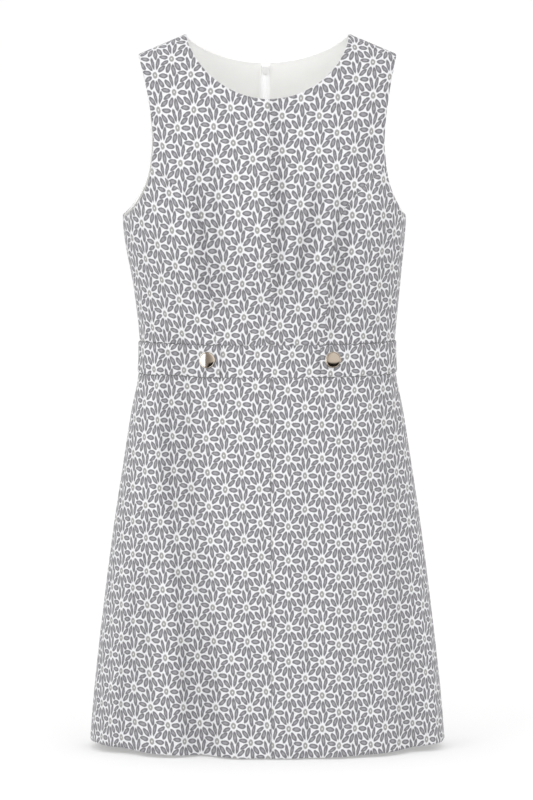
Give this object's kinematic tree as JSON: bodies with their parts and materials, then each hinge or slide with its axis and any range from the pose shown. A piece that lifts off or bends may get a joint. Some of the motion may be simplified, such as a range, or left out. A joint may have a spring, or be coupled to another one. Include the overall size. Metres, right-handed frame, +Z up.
{
  "type": "a-line dress",
  "caption": "Sleeveless A-line mini dress with round neck, princess-seamed bodice, inset waistband, buttoned waist tabs and back zip, filled out as worn.",
  "frame": {"origin": "midway between the two highest points of the neckline, where the wearer's shoulders carry the dress", "axes": "+Z up, +X to the wearer's left, +Y towards the wearer's back, so the front faces -Y"},
  "size_m": [0.4376, 0.275, 0.8729],
  "materials": {
    "print_cloth": "matt woven cloth with a small grey flower repeat on white",
    "lining_cloth": "plain warm white lining",
    "zip_tape": "white woven tape and coil",
    "zip_metal": "white enamelled slider and pull",
    "button_metal": "polished pale gold"
  },
  "bodies": {
    "dress": {"bodice_centre_front_left": "print_cloth", "bodice_centre_front_right": "print_cloth", "bodice_side_front_left": "print_cloth", "bodice_side_front_right": "print_cloth", "bodice_back_left": "print_cloth", "bodice_back_right": "print_cloth", "waistband_front": "print_cloth", "waistband_back_left": "print_cloth", "waistband_back_right": "print_cloth", "skirt_front_left": "print_cloth", "skirt_front_right": "print_cloth", "skirt_back_left": "print_cloth", "skirt_back_right": "print_cloth", "waist_tab_left": "print_cloth", "waist_tab_right": "print_cloth", "lining_back_left": "lining_cloth", "lining_back_right": "lining_cloth", "zip_tape_left": "zip_tape", "zip_tape_right": "zip_tape", "zip_chain": "zip_tape", "zip_slider": "zip_metal", "button_left": "button_metal", "button_right": "button_metal"},
    "zip_pull": {"zip_pull_tab": "zip_metal"}
  },
  "joints": [
    {"name": "zip_pull_turn", "type": "hinge", "parent": "dress", "child": "zip_pull", "pos_m": [0, 0.06037, -0.04261], "axis": [1, 0, 0], "range_deg": [0, 165]}
  ]
}
